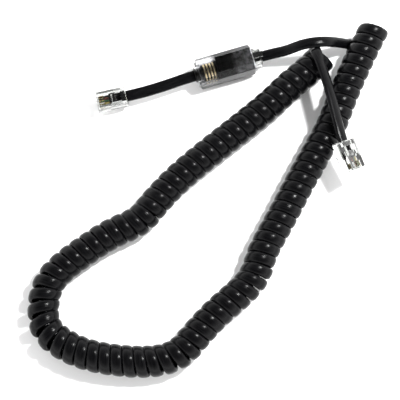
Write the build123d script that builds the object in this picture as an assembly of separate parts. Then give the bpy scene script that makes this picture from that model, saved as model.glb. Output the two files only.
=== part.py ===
"""Coiled lead of a telescope hand controller, with an in-line swivel.

One flat four-conductor cord is wound into a spring-like coil. Its two straight tails end in
four-way modular plugs. One plug is free. The other sits in the socket of a clear swivel, whose
rotor carries four slip rings and a short flat lead with a third plug, so that the coil can
untwist. Millimetres, +Z up. The lead lies on the plane Z = 0, and the origin is the middle of
the base of its bounding box.
"""
import os
from math import cos, pi, radians, sin, sqrt, tan

from build123d import *

# ---- Flat cord -----------------------------------------------------------------------------
CORD_WIDTH = 4.8
CORD_THICKNESS = 2.4
CORD_AREA = (CORD_WIDTH - CORD_THICKNESS) * CORD_THICKNESS + pi * CORD_THICKNESS ** 2 / 4
CORD_EDGE = 0.49 * CORD_THICKNESS       # radius of the section's rounded corners
ROUND_RADIUS = sqrt(CORD_AREA / pi)     # round tube of the same section, where the cord twists
ARC_SHARE = 0.45                        # share of the shorter run that a corner's arc takes

# ---- Coil: its axis runs in a tall loop, lifted at the end where its own tail passes under it
COIL_DIAMETER = 13.5
COIL_RADIUS = COIL_DIAMETER / 2
COIL_PITCH = 5.2
COIL_ROUTE = [                          # x, y, lift of the coil's axis above its resting height
    (72.8, 77.3, 2.2), (67.3, 66.6, 2.0), (57.8, 46.3, 0), (53.0, 31.9, 0), (48.8, 23.1, 0),
    (38.8, 5.3, 0), (32.5, -7.0, 0), (25.4, -19.8, 0), (21.6, -26.9, 0), (19.6, -34.8, 0),
    (14.8, -41.8, 0), (2.3, -52.2, 0), (-7.2, -62.8, 0), (-12.4, -69.4, 0), (-20.4, -73.0, 0),
    (-31.7, -73.8, 0), (-47.4, -72.1, 0), (-59.4, -68.5, 0), (-71.1, -60.8, 0), (-72.5, -49.2, 0),
    (-70.4, -39.6, 0), (-64.5, -32.6, 0), (-52.6, -23.8, 0), (-43.2, -17.6, 0),
    (-31.1, -12.4, 0), (-25.9, -5.5, 0), (-17.3, 4.4, 0), (-6.8, 14.0, 0), (12.7, 29.8, 0),
    (27.0, 41.6, 0), (35.1, 50.1, 0), (42.4, 55.7, 0), (47.2, 60.2, 0),
]

# ---- Modular plug, in its own frame: +X to the nose, +Z to the contact side, rear face at X = 0
PLUG_LENGTH = 13.2
PLUG_WIDTH = 7.65
PLUG_HEIGHT = 6.6
PLUG_EDGE = 0.35
JACKET_DEPTH = 7.6                      # how far the jacket goes into a plug
JACKET_GAP = 0.1
MOUTH_FLARE = 0.35
WIRE_GAP = 0.03
WIRE_PITCH = 1.02
WIRE_RADIUS = 0.475
WIRE_END = 12.3
WIRE_COLOURS = ["black", "red", "green", "yellow"]
WIRE_OFFSETS = [(index - 1.5) * WIRE_PITCH for index in range(len(WIRE_COLOURS))]
CONTACT_THICKNESS = 0.35
CONTACT_REAR = 9.9
CONTACT_FRONT = 12.1
CONTACT_TOP = 2.75
CONTACT_TOOTH = -0.2
SLOT_GAP = 0.02
STRAIN_WINDOW = (2.3, 6.8)              # along the plug
STRAIN_BAR = (4.4, 6.2)
LATCH_PIVOT = (12.3, -3.72)             # x and z of the living hinge
LATCH_WIDE = 6.0
LATCH_NARROW = 3.2
LATCH_SHOULDER = 5.1                    # where the wide part ends and hooks the socket
LATCH_TAIL = -0.9
LATCH_THICKNESS = 0.8
HINGE_RADIUS = 0.36
HINGE_GAP = 0.05

# ---- Swivel, in its own frame: +X from the lead end to the socket end, lead face at X = 0
SWIVEL_LENGTH = 26.35
SWIVEL_ACROSS = 12.1
SWIVEL_FLAT = 7.2
SWIVEL_START = (-6.9, 54.8, SWIVEL_ACROSS / 2)
SWIVEL_HEADING = 17.0                   # degrees from +X towards +Y
CAP_FLANGE = 1.2
CHAMBER_RADIUS = 5.15
CHAMBER_END = 9.8
INSERT_ACROSS = 11.2
INSERT_FLAT = 6.8
INSERT_GAP = 0.05
PLUG_STANDS_OUT = 3.9                   # length of the plug left outside the socket
SOCKET_GAP = 0.1
KEYWAY_HEIGHT = 5.0
LIP_HEIGHT = 4.15
LIP_LENGTH = 1.05

# ---- Rotor, on the swivel's axis
CORE_RADIUS = 4.1
CORE_SPAN = (2.5, 9.3)
NECK_RADIUS = 3.1
NECK_START = -0.4
JOURNAL_RADIUS = 1.5
JOURNAL_END = 12.2
RUNNING_GAP = 0.05
RING_PLACES = [4.1, 5.5, 6.9, 8.3]
RING_WIDTH = 0.7
RING_OUTER = 4.3
RING_INNER = 3.7
LEAD_DEPTH = 3.0                        # how far the short lead goes into the rotor

# ---- Socket wires: from the plug's contacts, through the insert, to a slip ring each
JACK_WIRE_RADIUS = 0.2
CONTACT_LINE = 3.0                      # depth of the wires under the swivel's axis at the contacts
BRUSH_RUN = 4.87                        # distance from the axis where they pass the other rings
BRUSH_TOUCH = RING_OUTER + JACK_WIRE_RADIUS + WIRE_GAP

# ---- Where the plugs lie: place of the rear face, heading, nose-down pitch and roll in degrees
LATCH_REST = {"lead_plug": 8.0, "swivel_plug": 5.0, "free_plug": 8.0}
LEAD_PLUG_REAR = (-37.9, 44.9, 6.15)
LEAD_PLUG_HEADING = 192.6
FREE_PLUG_REAR = (57.1, 20.6, 16.9)
FREE_PLUG_HEADING = -68.0
FREE_PLUG_PITCH = 8.0
FREE_PLUG_ROLL = 30.0
STUB_START = -0.4                       # where the flat stub in the free plug begins

parts = {}


def block(x_span, y_span, z_span):
    """A box given by its lowest and highest corner on each axis."""
    size = [high - low for low, high in (x_span, y_span, z_span)]
    middle = [(high + low) / 2 for low, high in (x_span, y_span, z_span)]
    return Pos(*middle) * Box(*size)


def rod(x_span, radius, y=0.0, z=0.0):
    """A cylinder along X."""
    length = x_span[1] - x_span[0]
    return Pos((x_span[0] + x_span[1]) / 2, y, z) * Rot(0, 90, 0) * Cylinder(radius, length)


def octagon_prism(x_span, across, flat):
    """A prism along X: a square with its four corners cut at 45 degrees."""
    half, short = across / 2, flat / 2
    corners = [(half, short), (short, half), (-short, half), (-half, short),
               (-half, -short), (-short, -half), (short, -half), (half, -short)]
    outline = Plane.YZ.offset(x_span[0]) * Polygon(*corners, align=None)
    return extrude(outline, x_span[1] - x_span[0])


def rounded_path(points, label=None):
    """Straight runs joined by arcs that are as large as the runs allow."""
    corners = [Vector(*point) for point in points]
    radii = []
    for before, corner, after in zip(corners, corners[1:], corners[2:]):
        arrive = corner - before
        leave = after - corner
        turn = radians(arrive.get_angle(leave))
        radii.append(ARC_SHARE * min(arrive.length, leave.length) / tan(turn / 2))
    if label:
        print(label, "arc radii", [round(radius, 1) for radius in radii])
    return FilletPolyline(*corners, radius=radii)


def round_tube(path, radius):
    section = Plane(origin=path @ 0, z_dir=path % 0) * Circle(radius)
    return sweep(section, path=path)


def report(label, solid, area, path):
    ratio = solid.volume / (area * path.length)
    print(label, "length", round(path.length, 1), "volume ratio", round(ratio, 3))


def flat_section(plane):
    return plane * RectangleRounded(CORD_WIDTH, CORD_THICKNESS, CORD_EDGE)


def flat_tube(path):
    """The flat cord along a path that it starts with its wide side level."""
    start = path % 0
    across = Vector(0, 0, 1).cross(start)
    section = flat_section(Plane(origin=path @ 0, x_dir=across, z_dir=start))
    return sweep(section, path=path)


def frame_plane(origin, heading, pitch=0.0, roll=0.0):
    """A plane whose X points along heading and pitch, turned about it by roll."""
    a, p, r = radians(heading), radians(pitch), radians(roll)
    along = Vector(cos(a) * cos(p), sin(a) * cos(p), -sin(p))
    level = Vector(-sin(a), cos(a), 0)
    up = along.cross(level)
    normal = up * cos(r) + level * sin(r)
    return Plane(origin=origin, x_dir=along, z_dir=normal)


def point_on(plane, x, y=0.0, z=0.0):
    place = plane.from_local_coords(Vector(x, y, z))
    return (place.X, place.Y, place.Z)


# ---- Modular plugs -------------------------------------------------------------------------
def contact_outline():
    """Side view of one contact: a flat top edge and two teeth that pierce a wire."""
    rear, front, root = CONTACT_REAR, CONTACT_FRONT, WIRE_RADIUS
    points = [
        (rear, CONTACT_TOP), (front - 0.3, CONTACT_TOP), (front, CONTACT_TOP - 0.3), (front, root),
        (front - 0.35, CONTACT_TOOTH), (front - 0.75, root), (rear + 0.75, root),
        (rear + 0.35, CONTACT_TOOTH), (rear, root),
    ]
    return Plane.XZ * Polygon(*points, align=None)


def plug_contact(y):
    return Pos(0, y, 0) * extrude(contact_outline(), CONTACT_THICKNESS / 2, both=True)


def plug_wire(y):
    return rod((JACKET_DEPTH, WIRE_END), WIRE_RADIUS, y) - plug_contact(y)


def plug_housing():
    half_width, half_height = PLUG_WIDTH / 2, PLUG_HEIGHT / 2
    body = block((0, PLUG_LENGTH), (-half_width, half_width), (-half_height, half_height))
    body = fillet(body.edges().filter_by(Axis.X), PLUG_EDGE)
    body = chamfer(body.faces().sort_by(Axis.X)[-1].edges(), 0.6 * PLUG_EDGE)
    # Root block of the latch, under the nose.
    pivot_x, pivot_z = LATCH_PIVOT
    root = block((pivot_x, PLUG_LENGTH - PLUG_EDGE), (-LATCH_WIDE / 2, LATCH_WIDE / 2),
                 (pivot_z - HINGE_RADIUS, -half_height + 0.1))
    body += root
    body -= Pos(pivot_x, 0, pivot_z) * Rot(90, 0, 0) * Cylinder(HINGE_RADIUS + HINGE_GAP, PLUG_WIDTH)
    # Mouth for the jacket, with a flared edge, and the channel for the wires.
    jacket_y = CORD_WIDTH / 2 + JACKET_GAP
    jacket_z = CORD_THICKNESS / 2 + JACKET_GAP
    body -= block((-1, JACKET_DEPTH), (-jacket_y, jacket_y), (-jacket_z, jacket_z))
    body -= loft([
        Plane.YZ * Rectangle(2 * (jacket_y + MOUTH_FLARE), 2 * (jacket_z + MOUTH_FLARE)),
        Plane.YZ.offset(MOUTH_FLARE) * Rectangle(2 * jacket_y, 2 * jacket_z),
    ])
    channel_y = WIRE_OFFSETS[-1] + WIRE_RADIUS + WIRE_GAP
    channel_z = WIRE_RADIUS + WIRE_GAP
    body -= block((JACKET_DEPTH - 0.1, WIRE_END), (-channel_y, channel_y), (-channel_z, channel_z))
    # Window over the jacket, and the strain-relief bar pressed down inside it.
    body -= block(STRAIN_WINDOW, (-jacket_y, jacket_y), (0, half_height + 1))
    bar_low, bar_high = STRAIN_BAR
    bar = Plane.XZ * Polygon(
        (bar_low, CORD_THICKNESS / 2 + 0.02), (bar_high, CORD_THICKNESS / 2 + 0.02),
        (STRAIN_WINDOW[1] + 0.1, half_height - 1.3), (STRAIN_WINDOW[1] + 0.1, half_height - 0.4),
        (bar_low + 0.4, half_height - 0.9), align=None)
    body += extrude(bar, jacket_y - 0.25, both=True)
    # One slot for each contact, open at the top and at the nose.
    slot = CONTACT_THICKNESS / 2 + SLOT_GAP
    for y in WIRE_OFFSETS:
        sides = (y - slot, y + slot)
        body -= block((CONTACT_REAR - SLOT_GAP, CONTACT_FRONT + SLOT_GAP), sides, (0, half_height + 1))
        body -= block((CONTACT_FRONT, PLUG_LENGTH + 1), sides, (CONTACT_TOP - 1.4, half_height + 1))
    return body


def plug_latch(rest_angle):
    """The latch arm, from its living hinge under the nose to its tail behind the plug."""
    pivot_x, pivot_z = LATCH_PIVOT
    reach = pivot_x - LATCH_TAIL
    shoulder = pivot_x - LATCH_SHOULDER
    half = LATCH_THICKNESS / 2
    thin = HINGE_RADIUS
    side = Plane.XZ * Polygon(
        (0, thin), (-shoulder, half - 0.02), (-shoulder, -half), (-2.0, -half), (0, -thin), align=None)
    wide = extrude(side, LATCH_WIDE / 2, both=True)
    wide += Rot(90, 0, 0) * Cylinder(thin, LATCH_WIDE)
    tail = block((-reach, -shoulder + 0.2), (-LATCH_NARROW / 2, LATCH_NARROW / 2), (-half, half - 0.02))
    tail = fillet(tail.faces().sort_by(Axis.X)[0].edges().filter_by(Axis.Z), 0.5)
    ridge_x = -reach + 1.0
    tail += block((ridge_x, ridge_x + 0.5), (-LATCH_NARROW / 2, LATCH_NARROW / 2), (-half - 0.2, 0))
    return Pos(pivot_x, 0, pivot_z) * Rot(0, -rest_angle, 0) * (wide + tail)


def add_plug(name, plane):
    place = plane.location
    parts[name + "_housing"] = place * plug_housing()
    parts[name + "_latch"] = place * plug_latch(LATCH_REST[name])
    for index, (colour, y) in enumerate(zip(WIRE_COLOURS, WIRE_OFFSETS)):
        parts[name + "_contact_" + str(index + 1)] = place * plug_contact(y)
        parts[name + "_wire_" + colour] = place * plug_wire(y)


# ---- Swivel --------------------------------------------------------------------------------
def jack_wire_path(y, ring_place):
    """From over the plug's contact to a brush that rides under one slip ring."""
    def depth(distance):
        return -sqrt(distance ** 2 - y ** 2)
    nose = SWIVEL_LENGTH + PLUG_STANDS_OUT - PLUG_LENGTH
    return [
        (nose + PLUG_LENGTH - CONTACT_REAR, y, -CONTACT_LINE),
        (nose - 0.6, y, -CONTACT_LINE),
        (nose - 1.6, y, depth(BRUSH_RUN)),
        (ring_place + 1.1, y, depth(BRUSH_RUN)),
        (ring_place - 0.3, y, depth(BRUSH_TOUCH)),
    ]


def jack_wire(y, ring_place, radius):
    path = FilletPolyline(*[Vector(*point) for point in jack_wire_path(y, ring_place)], radius=0.3)
    return round_tube(path, radius)


def rotor_wire(y, ring_place, radius, end_gap=0.0):
    """From the end of the short lead's jacket to the inside of one slip ring."""
    top = sqrt(RING_INNER ** 2 - y ** 2) - radius * 0.5 + end_gap
    path = FilletPolyline(Vector(LEAD_DEPTH, y, 0), Vector(ring_place, y, 0), Vector(ring_place, y, top),
                          radius=0.55)
    return round_tube(path, radius)


def swivel_housing():
    body = octagon_prism((CAP_FLANGE, SWIVEL_LENGTH), SWIVEL_ACROSS, SWIVEL_FLAT)
    body = chamfer(body.faces().sort_by(Axis.X)[0].edges(), 0.4)
    body -= rod((0, CHAMBER_END + 0.1), CHAMBER_RADIUS)
    across = INSERT_ACROSS + 2 * INSERT_GAP
    body -= octagon_prism((CHAMBER_END, SWIVEL_LENGTH + 1), across, INSERT_FLAT + INSERT_GAP)
    return body


def swivel_end_cap():
    cap = rod((0.5, CAP_FLANGE), CHAMBER_RADIUS + 0.5)
    cap += rod((0, 0.6), NECK_RADIUS + 0.9)
    cap += rod((CAP_FLANGE - 0.1, CORE_SPAN[0] - 0.1), CHAMBER_RADIUS - 0.02)
    return cap - rod((-1, CORE_SPAN[0] + 1), NECK_RADIUS + RUNNING_GAP)


def jack_insert():
    """Dark block that holds the socket wires, with the socket for the plug and its latch."""
    start = CHAMBER_END + INSERT_GAP
    body = octagon_prism((start, SWIVEL_LENGTH), INSERT_ACROSS, INSERT_FLAT)
    nose = SWIVEL_LENGTH + PLUG_STANDS_OUT - PLUG_LENGTH
    tunnel_y = PLUG_WIDTH / 2 + SOCKET_GAP
    tunnel_z = PLUG_HEIGHT / 2 + SOCKET_GAP
    mouth = SWIVEL_LENGTH + 1
    body -= block((nose - SOCKET_GAP, mouth), (-tunnel_y, tunnel_y), (-tunnel_z, tunnel_z))
    key_y = LATCH_WIDE / 2 + SOCKET_GAP
    slit_y = LATCH_NARROW / 2 + 0.15
    body -= block((nose - SOCKET_GAP, SWIVEL_LENGTH - LIP_LENGTH), (-key_y, key_y), (0, KEYWAY_HEIGHT))
    body -= block((nose, mouth), (-key_y, key_y), (0, LIP_HEIGHT))
    body -= block((nose, mouth), (-slit_y, slit_y), (0, KEYWAY_HEIGHT))
    body -= rod((CHAMBER_END, JOURNAL_END + 0.2), JOURNAL_RADIUS + RUNNING_GAP)
    for y, ring_place in zip(WIRE_OFFSETS, RING_PLACES):
        body -= jack_wire(y, ring_place, JACK_WIRE_RADIUS + WIRE_GAP)
    return body


def slip_ring(ring_place):
    span = (ring_place - RING_WIDTH / 2, ring_place + RING_WIDTH / 2)
    return rod(span, RING_OUTER) - rod((span[0] - 1, span[1] + 1), RING_INNER)


def rotor_core():
    core = rod(CORE_SPAN, CORE_RADIUS)
    core += rod((NECK_START, CORE_SPAN[0] + 0.5), NECK_RADIUS)
    core += rod((CORE_SPAN[1] - 0.5, JOURNAL_END), JOURNAL_RADIUS)
    for ring_place in RING_PLACES:
        span = (ring_place - RING_WIDTH / 2, ring_place + RING_WIDTH / 2)
        core -= rod(span, CORE_RADIUS + 1) - rod(span, RING_INNER)
    slot_y = CORD_WIDTH / 2 + JACKET_GAP / 2
    slot_z = CORD_THICKNESS / 2 + JACKET_GAP / 2
    core -= block((NECK_START - 1, LEAD_DEPTH), (-slot_y, slot_y), (-slot_z, slot_z))
    for y, ring_place in zip(WIRE_OFFSETS, RING_PLACES):
        core -= rotor_wire(y, ring_place, WIRE_RADIUS + WIRE_GAP, end_gap=2.0)
        core -= rod((LEAD_DEPTH - 0.5, LEAD_DEPTH + 0.5), WIRE_RADIUS + WIRE_GAP, y)
    return core


swivel_plane = frame_plane(SWIVEL_START, SWIVEL_HEADING)
swivel_place = swivel_plane.location
parts["swivel_housing"] = swivel_place * swivel_housing()
parts["swivel_end_cap"] = swivel_place * swivel_end_cap()
parts["swivel_jack_insert"] = swivel_place * jack_insert()
parts["rotor_core"] = swivel_place * rotor_core()
for index, (colour, y, ring_place) in enumerate(zip(WIRE_COLOURS, WIRE_OFFSETS, RING_PLACES)):
    parts["jack_wire_" + str(index + 1)] = swivel_place * jack_wire(y, ring_place, JACK_WIRE_RADIUS)
    parts["slip_ring_" + str(index + 1)] = swivel_place * slip_ring(ring_place)
    parts["rotor_wire_" + colour] = swivel_place * rotor_wire(y, ring_place, WIRE_RADIUS)

# ---- Plugs in their places: the one in the swivel lies with its latch up --------------------
swivel_plug_rear = point_on(swivel_plane, SWIVEL_LENGTH + PLUG_STANDS_OUT)
swivel_plug_plane = frame_plane(swivel_plug_rear, SWIVEL_HEADING + 180, roll=180)
lead_plug_plane = frame_plane(LEAD_PLUG_REAR, LEAD_PLUG_HEADING)
free_plug_plane = frame_plane(FREE_PLUG_REAR, FREE_PLUG_HEADING, FREE_PLUG_PITCH, FREE_PLUG_ROLL)
add_plug("lead_plug", lead_plug_plane)
add_plug("swivel_plug", swivel_plug_plane)
add_plug("free_plug", free_plug_plane)

# ---- Cord ----------------------------------------------------------------------------------
coil_path = rounded_path([(x, y, COIL_RADIUS + lift) for x, y, lift in COIL_ROUTE], "coil")
parts["coil_jacket"] = round_tube(coil_path, COIL_RADIUS)
report("coil", parts["coil_jacket"], pi * COIL_RADIUS ** 2, coil_path)

# From inside the swivel's plug, over the coil's far end, and under its near end.
SWIVEL_TAIL_ROUTE = [
    point_on(swivel_plug_plane, JACKET_DEPTH), point_on(swivel_plug_plane, -4.5),
    (35.3, 65.7, 7.8), (46.2, 67.9, 11.8), (54.0, 70.1, 7.6), (61.9, 71.3, 2.5),
    (67.0, 71.8, 1.3), (73.5, 73.2, 1.3),
]
tail_path = rounded_path(SWIVEL_TAIL_ROUTE, "swivel tail")
parts["swivel_tail_jacket"] = flat_tube(tail_path)
report("swivel tail", parts["swivel_tail_jacket"], CORD_AREA, tail_path)

# From the top of the coil's far end, across the near branch, to the free plug. The cord twists
# here, so its free length is a round tube of the same section, and a flat stub fills the plug.
FREE_TAIL_ROUTE = [
    (46.6, 59.8, 11.0), (49.0, 55.4, 13.5), (51.0, 49.2, 15.6), (52.9, 41.7, 16.3),
    (54.2, 33.8, 16.6), (55.6, 26.4, 17.3), point_on(free_plug_plane, -0.2),
]
free_path = rounded_path(FREE_TAIL_ROUTE, "free tail")
free_tube = round_tube(free_path, ROUND_RADIUS)
stub_plane = Plane(origin=point_on(free_plug_plane, STUB_START), x_dir=free_plug_plane.y_dir,
                   z_dir=free_plug_plane.x_dir)
stub = extrude(flat_section(stub_plane), JACKET_DEPTH - STUB_START)
parts["free_tail_jacket"] = free_tube + stub
report("free tail", free_tube, CORD_AREA, free_path)

# From inside the rotor to inside the lead's plug.
LEAD_ROUTE = [
    point_on(swivel_plane, LEAD_DEPTH), point_on(swivel_plane, -4.6), (-21.0, 49.8, 6.1),
    point_on(lead_plug_plane, -5.0), point_on(lead_plug_plane, JACKET_DEPTH),
]
lead_path = rounded_path(LEAD_ROUTE, "lead")
parts["lead_jacket"] = flat_tube(lead_path)
report("lead", parts["lead_jacket"], CORD_AREA, lead_path)

# ---- Files ---------------------------------------------------------------------------------
os.makedirs("parts", exist_ok=True)
for node, solid in parts.items():
    export_step(solid, "parts/" + node + ".step")

corners = [solid.bounding_box() for solid in parts.values()]
low = [min(getattr(box.min, axis) for box in corners) for axis in "XYZ"]
high = [max(getattr(box.max, axis) for box in corners) for axis in "XYZ"]
turns = coil_path.length / COIL_PITCH
turn_length = sqrt((pi * (COIL_DIAMETER - CORD_THICKNESS)) ** 2 + COIL_PITCH ** 2)
print("box", [round(value, 2) for value in low], [round(value, 2) for value in high])
print("coil turns", round(turns, 1), "cord in the turns", round(turns * turn_length), "mm")
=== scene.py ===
"""Looks of a telescope hand controller's coiled lead, with its in-line swivel and clear plugs."""

from bisect import bisect_right
from math import cos, pi, radians, sin

import bmesh
import bpy
from bpy.props import FloatProperty, FloatVectorProperty, IntProperty, PointerProperty
from mathutils import Matrix, Vector


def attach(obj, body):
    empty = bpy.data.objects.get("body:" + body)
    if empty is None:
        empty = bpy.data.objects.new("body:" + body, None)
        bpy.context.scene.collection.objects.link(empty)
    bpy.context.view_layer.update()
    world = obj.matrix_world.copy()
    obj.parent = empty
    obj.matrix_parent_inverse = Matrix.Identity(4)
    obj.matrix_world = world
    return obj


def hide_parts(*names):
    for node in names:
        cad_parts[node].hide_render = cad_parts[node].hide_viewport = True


bl_info = {
    "name": "Coiled Controller Lead",
    "version": (1, 0, 0),
    "blender": (4, 5, 0),
    "location": "View3D > Sidebar > Lead",
    "description": "Builds the coiled cord, plugs and slip-ring swivel of a hand controller's lead",
    "category": "Object",
}

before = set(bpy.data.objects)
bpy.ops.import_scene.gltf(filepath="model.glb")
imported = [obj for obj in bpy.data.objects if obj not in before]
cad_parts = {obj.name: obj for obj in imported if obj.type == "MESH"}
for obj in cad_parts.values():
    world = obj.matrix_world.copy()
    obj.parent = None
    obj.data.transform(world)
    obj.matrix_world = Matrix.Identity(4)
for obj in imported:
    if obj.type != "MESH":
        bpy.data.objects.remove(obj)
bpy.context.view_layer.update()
UP = Vector((0, 0, 1))

# ---- Driving dimensions, in metres ---------------------------------------------------------
CORD_WIDTH = 0.0048
JACKET_WIDTH = 0.0050                   # across the rounded edges
CORD_THICKNESS = 0.0024
COIL_RADIUS = 0.0069
COIL_ROUTE = [                          # x, y, lift of the coil's axis above its resting height
    (0.0732, 0.0758, 0.0024), (0.0684, 0.0666, 0.0020), (0.0590, 0.0463, 0), (0.0538, 0.0319, 0),
    (0.0488, 0.0231, 0), (0.0388, 0.0053, 0), (0.0325, -0.0070, 0), (0.0254, -0.0198, 0),
    (0.0216, -0.0269, 0), (0.0196, -0.0348, 0), (0.0148, -0.0418, 0), (0.0023, -0.0522, 0),
    (-0.0072, -0.0628, 0), (-0.0124, -0.0694, 0), (-0.0204, -0.0730, 0), (-0.0317, -0.0738, 0),
    (-0.0474, -0.0721, 0), (-0.0594, -0.0685, 0), (-0.0711, -0.0608, 0), (-0.0725, -0.0492, 0),
    (-0.0704, -0.0396, 0), (-0.0645, -0.0326, 0), (-0.0526, -0.0238, 0), (-0.0432, -0.0176, 0),
    (-0.0311, -0.0124, 0), (-0.0259, -0.0055, 0), (-0.0173, 0.0044, 0), (-0.0068, 0.0140, 0),
    (0.0127, 0.0298, 0), (0.0270, 0.0416, 0), (0.0351, 0.0501, 0), (0.0424, 0.0557, 0),
    (0.0487, 0.0622, 0),
]
JACKET_DEPTH = 0.0076                   # how far the jacket goes into a plug
LEAD_DEPTH = 0.0030                     # how far the short lead goes into the rotor
SWIVEL_LENGTH = 0.02635
PLUG_STANDS_OUT = 0.0039                # how far the swivel's plug reaches out of its socket


def frame_matrix(origin, heading, pitch=0.0, roll=0.0):
    """A frame whose X points along heading and pitch, in degrees, turned about it by roll."""
    a, p, r = radians(heading), radians(pitch), radians(roll)
    along = Vector((cos(a) * cos(p), sin(a) * cos(p), -sin(p)))
    level = Vector((-sin(a), cos(a), 0))
    up = along.cross(level)
    normal = up * cos(r) + level * sin(r)
    side = normal.cross(along)
    turn = Matrix((along, side, normal)).transposed().to_4x4()
    return Matrix.Translation(origin) @ turn


SWIVEL = frame_matrix((-0.0069, 0.0548, 0.00605), 17.0)
SWIVEL_PLUG = frame_matrix(SWIVEL @ Vector((SWIVEL_LENGTH + PLUG_STANDS_OUT, 0, 0)), 197.0, roll=180.0)
LEAD_PLUG = frame_matrix((-0.0379, 0.0449, 0.00615), 192.6)
FREE_PLUG = frame_matrix((0.0571, 0.0206, 0.0169), -68.0, pitch=8.0, roll=30.0)
PLUGS = ("lead_plug", "swivel_plug", "free_plug")
WIRES = range(1, 5)                     # the four ways of every plug, and of the swivel

SWIVEL_TAIL_ROUTE = [
    SWIVEL_PLUG @ Vector((JACKET_DEPTH, 0, 0)), SWIVEL_PLUG @ Vector((-0.0045, 0, 0)),
    (0.0338, 0.0655, 0.0088), (0.0410, 0.0670, 0.0138), (0.0500, 0.0680, 0.0142),
    (0.0575, 0.0697, 0.0080), (0.0632, 0.0706, 0.0028), (0.0680, 0.0713, 0.0013), (0.0730, 0.0728, 0.0013),
]
FREE_TAIL_ROUTE = [
    (0.0462, 0.0644, 0.0134), (0.0480, 0.0577, 0.0152), (0.0506, 0.0490, 0.0164),
    (0.0529, 0.0392, 0.0168), (0.0546, 0.0310, 0.0171), (0.0558, 0.0254, 0.0173),
    FREE_PLUG @ Vector((-0.0002, 0, 0)), FREE_PLUG @ Vector((JACKET_DEPTH, 0, 0)),
]
LEAD_ROUTE = [
    SWIVEL @ Vector((LEAD_DEPTH, 0, 0)), SWIVEL @ Vector((-0.0046, 0, 0)), (-0.0210, 0.0498, 0.0061),
    LEAD_PLUG @ Vector((-0.0050, 0, 0)), LEAD_PLUG @ Vector((JACKET_DEPTH, 0, 0)),
]


LINE_RESOLUTION = 24
COIL_RESOLUTION = 3
LAST_TURN_HEIGHT = 0.95                 # the last turn runs on until the cord is at its top
LEAN_RATE = 1.6                         # how fast crowded turns lean over on the inside of a bend
MOST_LEAN = 0.5
COIL_SECTION = (2.4, 14)                # fullness of the flat section's shape, and its corners
SHORT_SECTION = (3.4, 20)

# ---- Finishes, with places in metres from the swivel's lead end ------------------------------
WIRE_COLOUR = {"black": (0.006, 0.006, 0.006), "red": (0.16, 0.035, 0.02),
               "green": (0.03, 0.09, 0.035), "yellow": (0.42, 0.32, 0.08)}
ROTOR_BLACK = (0.006, 0.006, 0.005)
PLUG_BENDING = 1.5
SHELL_BENDING = 1.22                    # set lower than the plastic's own
SHELL_SMOKE = [(0.0004, 0.75), (0.0016, 0.6), (0.0080, 0.6), (0.0090, 0.2), (0.0258, 0.2), (0.0262, 0.75)]
# painted shade: the insert's grey rises from near black deep in the socket to light grey at its mouth
INSERT_SMOKE_AND_SHADE = [(0.0100, 0.04), (0.0165, 0.06), (0.0188, 0.5), (0.0250, 0.7)]


# ---- Settings --------------------------------------------------------------------------------
class CordSettings(bpy.types.PropertyGroup):
    pitch: FloatProperty(name="Coil pitch", description="Distance from one turn to the next",
                         default=0.00502, unit="LENGTH")
    inner_pitch: FloatProperty(name="Inner pitch", description="Least pitch on the inside of a bend",
                               default=0.0042, unit="LENGTH")
    stiffness: FloatProperty(name="Stiffness", description="Length over which turns follow the coil's axis",
                             default=0.010, unit="LENGTH")
    turn_points: IntProperty(name="Points per turn", description="Control points in each turn of the coil",
                             default=20, min=12)
    jacket: FloatVectorProperty(name="Jacket", description="Colour of the cord's jacket", size=3,
                                subtype="COLOR", default=(0.0011, 0.0011, 0.0013), min=0, max=1)
    gloss: FloatProperty(name="Roughness", description="Roughness of the cord's jacket",
                         default=0.24, min=0, max=1, subtype="FACTOR")


class ClearSettings(bpy.types.PropertyGroup):
    tint: FloatVectorProperty(name="Clear plastic", description="Tint of the clear mouldings", size=3,
                              subtype="COLOR", default=(0.64, 0.65, 0.635), min=0, max=1)
    shell: FloatVectorProperty(name="Swivel's shell", description="Tint of the swivel's clear shell", size=3,
                               subtype="COLOR", default=(0.82, 0.83, 0.83), min=0, max=1)
    gold: FloatVectorProperty(name="Gold plate", description="Colour of the contacts and rings", size=3,
                              subtype="COLOR", default=(0.88, 0.76, 0.5), min=0, max=1)


class StageSettings(bpy.types.PropertyGroup):
    floor: FloatVectorProperty(name="Floor", description="Colour of the floor", size=3,
                               subtype="COLOR", default=(0.94, 0.94, 0.94), min=0, max=1)
    horizon: FloatProperty(name="Horizon", description="Strength of the light from the sides",
                           default=3.9, min=0)
    zenith: FloatProperty(name="Zenith", description="Strength of the light from above", default=0.25, min=0)
    key: FloatProperty(name="Key light", description="Power of the small softbox", default=13.0, min=0)


# ---- Node helpers ----------------------------------------------------------------------------
def new_material(name):
    """A material with an empty tree but for its output and one Principled shader."""
    material = bpy.data.materials.new(name)
    material.use_nodes = True
    nodes = material.node_tree.nodes
    return material, nodes, material.node_tree.links, nodes["Principled BSDF"]


def speckle(nodes, links, scale, detail=4.0, roughness=0.5, coordinate="Object", stretch=(1, 1, 1)):
    """Noise on the piece's own coordinates, whose pattern may be stretched along an axis."""
    source = nodes.new("ShaderNodeTexCoord")
    mapping = nodes.new("ShaderNodeMapping")
    mapping.inputs["Scale"].default_value = stretch
    texture = nodes.new("ShaderNodeTexNoise")
    texture.inputs["Scale"].default_value = scale
    texture.inputs["Detail"].default_value = detail
    texture.inputs["Roughness"].default_value = roughness
    links.new(source.outputs[coordinate], mapping.inputs["Vector"])
    links.new(mapping.outputs["Vector"], texture.inputs["Vector"])
    return texture.outputs["Fac"]


def spread(nodes, links, value, low, high):
    """Maps noise, which runs from about 0.3 to 0.7, to low and high."""
    node = nodes.new("ShaderNodeMapRange")
    node.inputs["From Min"].default_value = 0.3
    node.inputs["From Max"].default_value = 0.7
    node.inputs["To Min"].default_value = low
    node.inputs["To Max"].default_value = high
    links.new(value, node.inputs["Value"])
    return node.outputs["Result"]


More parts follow.
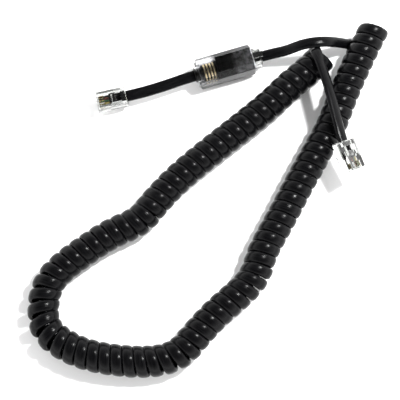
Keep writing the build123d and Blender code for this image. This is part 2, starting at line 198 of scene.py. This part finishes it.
def blend_colours(nodes, links, value, first, second):
    """Maps noise to a colour between the first and the second."""
    ramp = nodes.new("ShaderNodeValToRGB")
    ramp.color_ramp.elements[0].position = 0.35
    ramp.color_ramp.elements[0].color = (*first, 1)
    ramp.color_ramp.elements[1].position = 0.65
    ramp.color_ramp.elements[1].color = (*second, 1)
    links.new(value, ramp.inputs["Fac"])
    return ramp.outputs["Color"]


def bump(nodes, links, height, strength, distance):
    """A normal raised by noise, whose full height is distance in metres."""
    node = nodes.new("ShaderNodeBump")
    node.inputs["Strength"].default_value = strength
    node.inputs["Distance"].default_value = distance
    links.new(height, node.inputs["Height"])
    return node.outputs["Normal"]


def jacket_material(name, settings):
    """Satin black vinyl, streaked along the cord by the die that drew it."""
    material, nodes, links, shader = new_material(name)
    streaks = speckle(nodes, links, 1.0, 5.0, 0.7, "UV", (26.0, 150.0, 1.0))
    dark = tuple(settings.jacket)
    dusty = tuple(channel * 2.5 + 0.0008 for channel in dark)
    links.new(blend_colours(nodes, links, streaks, dark, dusty), shader.inputs["Base Color"])
    links.new(spread(nodes, links, streaks, settings.gloss - 0.08, settings.gloss + 0.06),
              shader.inputs["Roughness"])
    links.new(bump(nodes, links, streaks, 0.5, 0.00012), shader.inputs["Normal"])
    shader.inputs["IOR"].default_value = 1.53
    shader.inputs["Specular IOR Level"].default_value = 0.07
    return material


def clear_material(name, tint, bending, smoke=None):
    """Clear moulded plastic with faint flow marks. Smoke takes the tint's place along the swivel."""
    material, nodes, links, shader = new_material(name)
    shader.inputs["Base Color"].default_value = (*tint, 1)
    if smoke:
        links.new(along_swivel(nodes, links, smoke), shader.inputs["Base Color"])
    shader.inputs["Transmission Weight"].default_value = 1.0
    shader.inputs["IOR"].default_value = bending
    flow = speckle(nodes, links, 220.0, 2.0)
    links.new(spread(nodes, links, flow, 0.018, 0.048), shader.inputs["Roughness"])
    links.new(bump(nodes, links, flow, 0.12, 0.00008), shader.inputs["Normal"])
    return material


def gold_material(name, settings):
    """Gold plate over bronze, with fine drawing marks."""
    material, nodes, links, shader = new_material(name)
    marks = speckle(nodes, links, 2600.0, 3.0)
    pale = tuple(settings.gold)
    deep = (pale[0] * 0.85, pale[1] * 0.78, pale[2] * 0.62)
    links.new(blend_colours(nodes, links, marks, deep, pale), shader.inputs["Base Color"])
    shader.inputs["Metallic"].default_value = 1.0
    links.new(spread(nodes, links, marks, 0.16, 0.32), shader.inputs["Roughness"])
    links.new(bump(nodes, links, marks, 0.2, 0.00002), shader.inputs["Normal"])
    return material


def moulded_material(name, colour, roughness=0.4, sheen=0.3):
    """Opaque moulded plastic with a fine spark-eroded grain."""
    material, nodes, links, shader = new_material(name)
    grain = speckle(nodes, links, 1800.0, 4.0)
    lighter = tuple(min(1.0, channel * 1.25 + 0.004) for channel in colour)
    links.new(blend_colours(nodes, links, grain, colour, lighter), shader.inputs["Base Color"])
    links.new(spread(nodes, links, grain, roughness - 0.08, roughness + 0.08), shader.inputs["Roughness"])
    links.new(bump(nodes, links, grain, 0.15, 0.00003), shader.inputs["Normal"])
    shader.inputs["Specular IOR Level"].default_value = sheen
    return material


def along_swivel(nodes, links, positions):
    """A colour ramp along the swivel's axis: positions are (place from its lead end, grey)."""
    source = nodes.new("ShaderNodeTexCoord")
    mapping = nodes.new("ShaderNodeMapping")
    mapping.vector_type = "TEXTURE"
    mapping.inputs["Location"].default_value = SWIVEL.translation
    mapping.inputs["Rotation"].default_value = SWIVEL.to_euler()
    mapping.inputs["Scale"].default_value = (SWIVEL_LENGTH, SWIVEL_LENGTH, SWIVEL_LENGTH)
    split = nodes.new("ShaderNodeSeparateXYZ")
    ramp = nodes.new("ShaderNodeValToRGB")
    stops = ramp.color_ramp.elements
    for place, grey in positions:
        stop = stops.new(place / SWIVEL_LENGTH)
        stop.color = (grey, grey, grey * 1.02, 1)
    stops.remove(stops[0])
    stops.remove(stops[len(stops) - 1])
    links.new(source.outputs["Object"], mapping.inputs["Vector"])
    links.new(mapping.outputs["Vector"], split.inputs["Vector"])
    links.new(split.outputs["X"], ramp.inputs["Fac"])
    return ramp.outputs["Color"]


def smoke_material(name):
    """Dark smoky moulding with a cloudy mottle, and painted shade that makes it far darker deep in the
    socket than at its mouth.
    """
    material, nodes, links, shader = new_material(name)
    clouds = speckle(nodes, links, 420.0, 5.0, 0.65)
    # the smoke's grey, darkened by painted shade deep in the socket
    smoke_and_socket_shade = along_swivel(nodes, links, INSERT_SMOKE_AND_SHADE)
    mottle = nodes.new("ShaderNodeMix")
    mottle.data_type = "RGBA"
    mottle.blend_type = "MULTIPLY"
    mottle.inputs["Factor"].default_value = 1.0
    links.new(smoke_and_socket_shade, mottle.inputs[6])
    links.new(blend_colours(nodes, links, clouds, (0.3, 0.3, 0.27), (2.2, 2.2, 2.2)), mottle.inputs[7])
    links.new(mottle.outputs[2], shader.inputs["Base Color"])
    shader.inputs["Specular IOR Level"].default_value = 0.1
    links.new(spread(nodes, links, clouds, 0.3, 0.5), shader.inputs["Roughness"])
    links.new(bump(nodes, links, clouds, 0.3, 0.0001), shader.inputs["Normal"])
    return material


def finish(name, make, *arguments):
    """The named material, made once."""
    return bpy.data.materials.get(name) or make(name, *arguments)


def dress(node, material):
    """Gives a carried-over CAD node its material."""
    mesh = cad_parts[node].data
    mesh.materials.clear()
    mesh.materials.append(material)


def dress_wires(prefix):
    """Gives each conductor whose name starts with the prefix its insulation."""
    for colour, paint in WIRE_COLOUR.items():
        dress(prefix + colour, finish(colour + "_insulation", moulded_material, paint))


# ---- Cord ------------------------------------------------------------------------------------
def nurbs_points(name, points, resolution):
    """Points along an order 3 NURBS line through the route, as Blender evaluates it."""
    curve = bpy.data.curves.new(name, "CURVE")
    curve.dimensions = "3D"
    curve.resolution_u = resolution
    spline = curve.splines.new("NURBS")
    spline.points.add(len(points) - 1)
    for point, place in zip(spline.points, points):
        point.co = (*place, 1)
    spline.order_u = 3
    spline.use_endpoint_u = True
    holder = bpy.data.objects.new(name, curve)
    mesh = bpy.data.meshes.new_from_object(holder)
    places = [vertex.co.copy() for vertex in mesh.vertices]
    bpy.data.objects.remove(holder)
    bpy.data.curves.remove(curve)
    bpy.data.meshes.remove(mesh)
    return places


def path_lengths(points):
    """Distance along the path at each of its points."""
    lengths = [0.0]
    for before, after in zip(points, points[1:]):
        lengths.append(lengths[-1] + (after - before).length)
    return lengths


def tangents(points):
    """Direction of the path at each of its points."""
    ahead = points[1:] + points[-1:]
    behind = points[:1] + points[:-1]
    return [(after - before).normalized() for before, after in zip(behind, ahead)]


def point_at(points, lengths, distance):
    """The point that lies a distance along a path."""
    distance = min(max(distance, 0.0), lengths[-1])
    index = min(bisect_right(lengths, distance), len(lengths) - 1)
    share = (distance - lengths[index - 1]) / (lengths[index] - lengths[index - 1])
    return points[index - 1].lerp(points[index], share)


def coil_turns(settings):
    """Control points of the coil's helix, and which way the cord's wide side lies at each.

    The turns face along the axis as it runs over a few turns, so that a sharp bend of the coil
    makes them slide past each other, and on the inside of a bend each lies up on the next."""
    axis = nurbs_points("coil_axis", [(x, y, COIL_RADIUS + lift) for x, y, lift in COIL_ROUTE],
                        LINE_RESOLUTION)
    lengths = path_lengths(axis)
    reach = settings.stiffness
    radius = COIL_RADIUS - CORD_THICKNESS / 2

    def heading(distance):
        ahead = point_at(axis, lengths, distance + reach)
        behind = point_at(axis, lengths, distance - reach)
        return (ahead - behind).normalized()

    places, wides = [], []
    step = 2 * pi / settings.turn_points
    turn, travelled = -pi / 2, 0.0
    while travelled < lengths[-1] or sin(turn) < LAST_TURN_HEIGHT:
        centre = point_at(axis, lengths, travelled)
        along = heading(travelled)
        side = UP.cross(along).normalized()
        lift = along.cross(side)
        outwards = side * cos(turn) + lift * sin(turn)
        places.append(centre + outwards * radius)
        change = (heading(travelled + reach / 2) - heading(travelled - reach / 2)) / reach
        pitch = max(settings.pitch, settings.inner_pitch / (1 - change.length * radius))
        here = pitch * (1 - change.dot(outwards) * radius)
        lean = min(MOST_LEAN, max(0.0, LEAN_RATE * (1 - here / CORD_WIDTH)))
        wides.append(along * cos(lean) + outwards * sin(lean))
        travelled += pitch * step / (2 * pi)
        turn += step
    return places, wides


def tube(name, path, wides, section):
    """A flat cord's piece: one ring of a rounded flat section at each point of its path."""
    fullness, sides = section
    mesh = bpy.data.meshes.new(name)
    shape = bmesh.new()
    uv = shape.loops.layers.uv.new("UVMap")
    lengths = path_lengths(path)
    rings = []
    for place, ahead, wide in zip(path, tangents(path), wides):
        across = (wide - ahead * wide.dot(ahead)).normalized()
        through = ahead.cross(across)
        ring = []
        for corner in range(sides):
            angle = 2 * pi * corner / sides
            c, s = cos(angle), sin(angle)
            x = abs(c) ** (2 / fullness) * (1 if c > 0 else -1) * JACKET_WIDTH / 2
            y = abs(s) ** (2 / fullness) * (1 if s > 0 else -1) * CORD_THICKNESS / 2
            ring.append(shape.verts.new(place + across * x + through * y))
        rings.append(ring)
    for number, (ring, beyond) in enumerate(zip(rings, rings[1:])):
        for corner in range(sides):
            following = (corner + 1) % sides
            face = shape.faces.new((ring[corner], ring[following], beyond[following], beyond[corner]))
            face.smooth = True
            for loop, (u, v) in zip(face.loops, ((0, 0), (1, 0), (1, 1), (0, 1))):
                loop[uv].uv = ((corner + u) / sides, lengths[number + v])
    shape.faces.new(list(reversed(rings[0])))
    shape.faces.new(rings[-1])
    shape.to_mesh(mesh)
    shape.free()
    piece = bpy.data.objects.new(name, mesh)
    bpy.context.collection.objects.link(piece)
    return piece


def plug_pieces(plug):
    """The CAD nodes that a plug is made of."""
    names = [plug + "_housing", plug + "_latch"]
    names += [plug + "_contact_" + str(number) for number in WIRES]
    names += [plug + "_wire_" + colour for colour in WIRE_COLOUR]
    return names


class LEAD_OT_coil(bpy.types.Operator):
    """The coiled cord and its two straight tails, as one flat jacket"""
    bl_idname = "lead.coil"
    bl_label = "Coiled cord"

    def execute(self, context):
        settings = context.scene.lead_cord
        near_tail = [Vector(place) for place in SWIVEL_TAIL_ROUTE]
        far_tail = [Vector(place) for place in FREE_TAIL_ROUTE]
        turns, lays = coil_turns(settings)
        controls = near_tail + turns + far_tail
        wides = [ahead.cross(UP).normalized() for ahead in tangents(near_tail)] + lays
        roll = FREE_PLUG.col[1].xyz
        for number, ahead in enumerate(tangents(far_tail)):
            level = UP.cross(ahead).normalized()
            wides.append(level if number < 1 else -roll if roll.dot(level) < 0 else roll)
        path = nurbs_points("coil_line", controls, COIL_RESOLUTION)
        guides = []
        for number in range(len(path)):     # an order 3 line passes midway between its controls
            place = min(number / (len(path) - 1) * (len(controls) - 2) + 0.5, len(controls) - 1.0)
            low = min(int(place), len(controls) - 2)
            guides.append(wides[low].lerp(wides[low + 1], place - low))
        piece = tube("coiled_cord", path, guides, COIL_SECTION)
        piece.data.materials.append(finish("black_vinyl_jacket", jacket_material, settings))
        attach(piece, "coil_lead")
        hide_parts("coil_jacket", "swivel_tail_jacket", "free_tail_jacket")
        plug_pieces("swivel_plug") + plug_pieces("free_plug")
        return {"FINISHED"}


class LEAD_OT_short(bpy.types.Operator):
    """The short flat cord from the swivel's rotor to its plug"""
    bl_idname = "lead.short"
    bl_label = "Short cord"

    def execute(self, context):
        settings = context.scene.lead_cord
        path = nurbs_points("short_line", LEAD_ROUTE, LINE_RESOLUTION)
        guides = [ahead.cross(UP) for ahead in tangents(path)]
        piece = tube("short_cord", path, guides, SHORT_SECTION)
        piece.data.materials.append(finish("black_vinyl_jacket", jacket_material, settings))
        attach(piece, "rotor")
        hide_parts("lead_jacket")
        plug_pieces("lead_plug")
        return {"FINISHED"}


class LEAD_OT_plugs(bpy.types.Operator):
    """The three clear plugs, with their contacts, conductors and latches"""
    bl_idname = "lead.plugs"
    bl_label = "Modular plugs"

    def execute(self, context):
        settings = context.scene.lead_clear
        clear = finish("clear_plug_plastic", clear_material, tuple(settings.tint), PLUG_BENDING)
        gold = finish("gold_plating", gold_material, settings)
        for plug in PLUGS:
            dress(plug + "_housing", clear)
            dress(plug + "_latch", clear)
            for number in WIRES:
                dress(plug + "_contact_" + str(number), gold)
            dress_wires(plug + "_wire_")
        return {"FINISHED"}


class LEAD_OT_swivel(bpy.types.Operator):
    """The clear swivel with its socket, spring wires, rotor and slip rings"""
    bl_idname = "lead.swivel"
    bl_label = "Swivel"

    def execute(self, context):
        settings = context.scene.lead_clear
        shell = tuple(settings.shell)
        clear = finish("clear_swivel_plastic", clear_material, shell, SHELL_BENDING)
        smoked = finish("smoked_swivel_plastic", clear_material, shell, SHELL_BENDING, SHELL_SMOKE)
        smoke = finish("smoky_moulding_painted_shade", smoke_material)
        core = finish("rotor_plastic", moulded_material, ROTOR_BLACK, 0.4, 0.08)
        gold = finish("gold_plating", gold_material, settings)
        dress("swivel_housing", smoked)
        dress("swivel_end_cap", clear)
        dress("swivel_jack_insert", smoke)
        dress("rotor_core", core)
        for number in WIRES:
            dress("jack_wire_" + str(number), gold)
            dress("slip_ring_" + str(number), gold)
        dress_wires("rotor_wire_")
        return {"FINISHED"}


# ---- Stage -----------------------------------------------------------------------------------
CAMERA_TARGET = Vector((-0.0050, -0.0028, 0.00675))
CAMERA_ELEVATION = radians(76.0)
CAMERA_DISTANCE = 0.6
CAMERA_LENS = 123.66
KEY_DIRECTION = (0.45, 0.28, 0.85)
KEY_DISTANCE = 0.9
KEY_SIZE = 0.11
FLOOR_HALF_WIDTH = 3.0
HORIZON_HEIGHT = 0.15                   # rise of a sky direction, up to which all is horizon
ZENITH_HEIGHT = 0.8


def area_light(name, direction, distance, size, power):
    """A round softbox that points at the origin."""
    lamp = bpy.data.lights.new(name, "AREA")
    lamp.energy = power
    lamp.size = size
    lamp.shape = "DISK"
    holder = bpy.data.objects.new(name, lamp)
    direction = Vector(direction).normalized()
    holder.location = direction * distance
    holder.rotation_euler = direction.to_track_quat("Z", "Y").to_euler()
    bpy.context.collection.objects.link(holder)


class LEAD_OT_stage(bpy.types.Operator):
    """The pale floor, the lights and the camera"""
    bl_idname = "lead.stage"
    bl_label = "Stage"

    def execute(self, context):
        settings = context.scene.lead_stage
        scene = context.scene
        shape = bmesh.new()
        bmesh.ops.create_grid(shape, x_segments=1, y_segments=1, size=FLOOR_HALF_WIDTH)
        mesh = bpy.data.meshes.new("floor")
        shape.to_mesh(mesh)
        shape.free()
        floor = bpy.data.objects.new("floor", mesh)
        context.collection.objects.link(floor)
        material, _, _, shader = new_material("floor_paint")
        shader.inputs["Base Color"].default_value = (*settings.floor, 1)
        shader.inputs["Roughness"].default_value = 0.9
        shader.inputs["Specular IOR Level"].default_value = 0.1
        mesh.materials.append(material)

        world = bpy.data.worlds.new("studio")
        world.use_nodes = True
        nodes, links = world.node_tree.nodes, world.node_tree.links
        source = nodes.new("ShaderNodeTexCoord")
        split = nodes.new("ShaderNodeSeparateXYZ")
        height = nodes.new("ShaderNodeMapRange")
        height.inputs["From Min"].default_value = HORIZON_HEIGHT
        height.inputs["From Max"].default_value = ZENITH_HEIGHT
        height.inputs["To Min"].default_value = settings.horizon
        height.inputs["To Max"].default_value = settings.zenith
        links.new(source.outputs["Generated"], split.inputs["Vector"])
        links.new(split.outputs["Z"], height.inputs["Value"])
        nodes["Background"].inputs["Color"].default_value = (1, 1, 1, 1)
        links.new(height.outputs["Result"], nodes["Background"].inputs["Strength"])
        scene.world = world

        area_light("key", KEY_DIRECTION, KEY_DISTANCE, KEY_SIZE, settings.key)

        lens = bpy.data.cameras.new("camera")
        lens.lens = CAMERA_LENS
        lens.sensor_width = 36.0
        lens.clip_start = 0.01
        camera = bpy.data.objects.new("camera", lens)
        back = Vector((0, -cos(CAMERA_ELEVATION), sin(CAMERA_ELEVATION)))
        camera.location = CAMERA_TARGET + back * CAMERA_DISTANCE
        camera.rotation_euler = (pi / 2 - CAMERA_ELEVATION, 0, 0)
        context.collection.objects.link(camera)
        scene.camera = camera
        scene.view_settings.view_transform = "Standard"
        return {"FINISHED"}


class LEAD_PT_panel(bpy.types.Panel):
    """The lead's settings and the operators that build it"""
    bl_label = "Coiled lead"
    bl_idname = "LEAD_PT_panel"
    bl_space_type = "VIEW_3D"
    bl_region_type = "UI"
    bl_category = "Lead"

    def draw(self, context):
        for group in (context.scene.lead_cord, context.scene.lead_clear, context.scene.lead_stage):
            box = self.layout.box()
            for name in group.bl_rna.properties.keys():
                if name not in ("rna_type", "name"):
                    box.prop(group, name)
        for operator in OPERATORS:
            self.layout.operator(operator.bl_idname)


OPERATORS = (LEAD_OT_stage, LEAD_OT_coil, LEAD_OT_short, LEAD_OT_plugs, LEAD_OT_swivel)
CLASSES = (CordSettings, ClearSettings, StageSettings, *OPERATORS, LEAD_PT_panel)


def register():
    for item in CLASSES:
        bpy.utils.register_class(item)
    bpy.types.Scene.lead_cord = PointerProperty(type=CordSettings)
    bpy.types.Scene.lead_clear = PointerProperty(type=ClearSettings)
    bpy.types.Scene.lead_stage = PointerProperty(type=StageSettings)


def unregister():
    del bpy.types.Scene.lead_stage
    del bpy.types.Scene.lead_clear
    del bpy.types.Scene.lead_cord
    for item in reversed(CLASSES):
        bpy.utils.unregister_class(item)


def main():
    register()
    bpy.ops.lead.stage()
    bpy.ops.lead.coil()
    bpy.ops.lead.short()
    bpy.ops.lead.plugs()
    bpy.ops.lead.swivel()


if __name__ == "__main__":
    main()
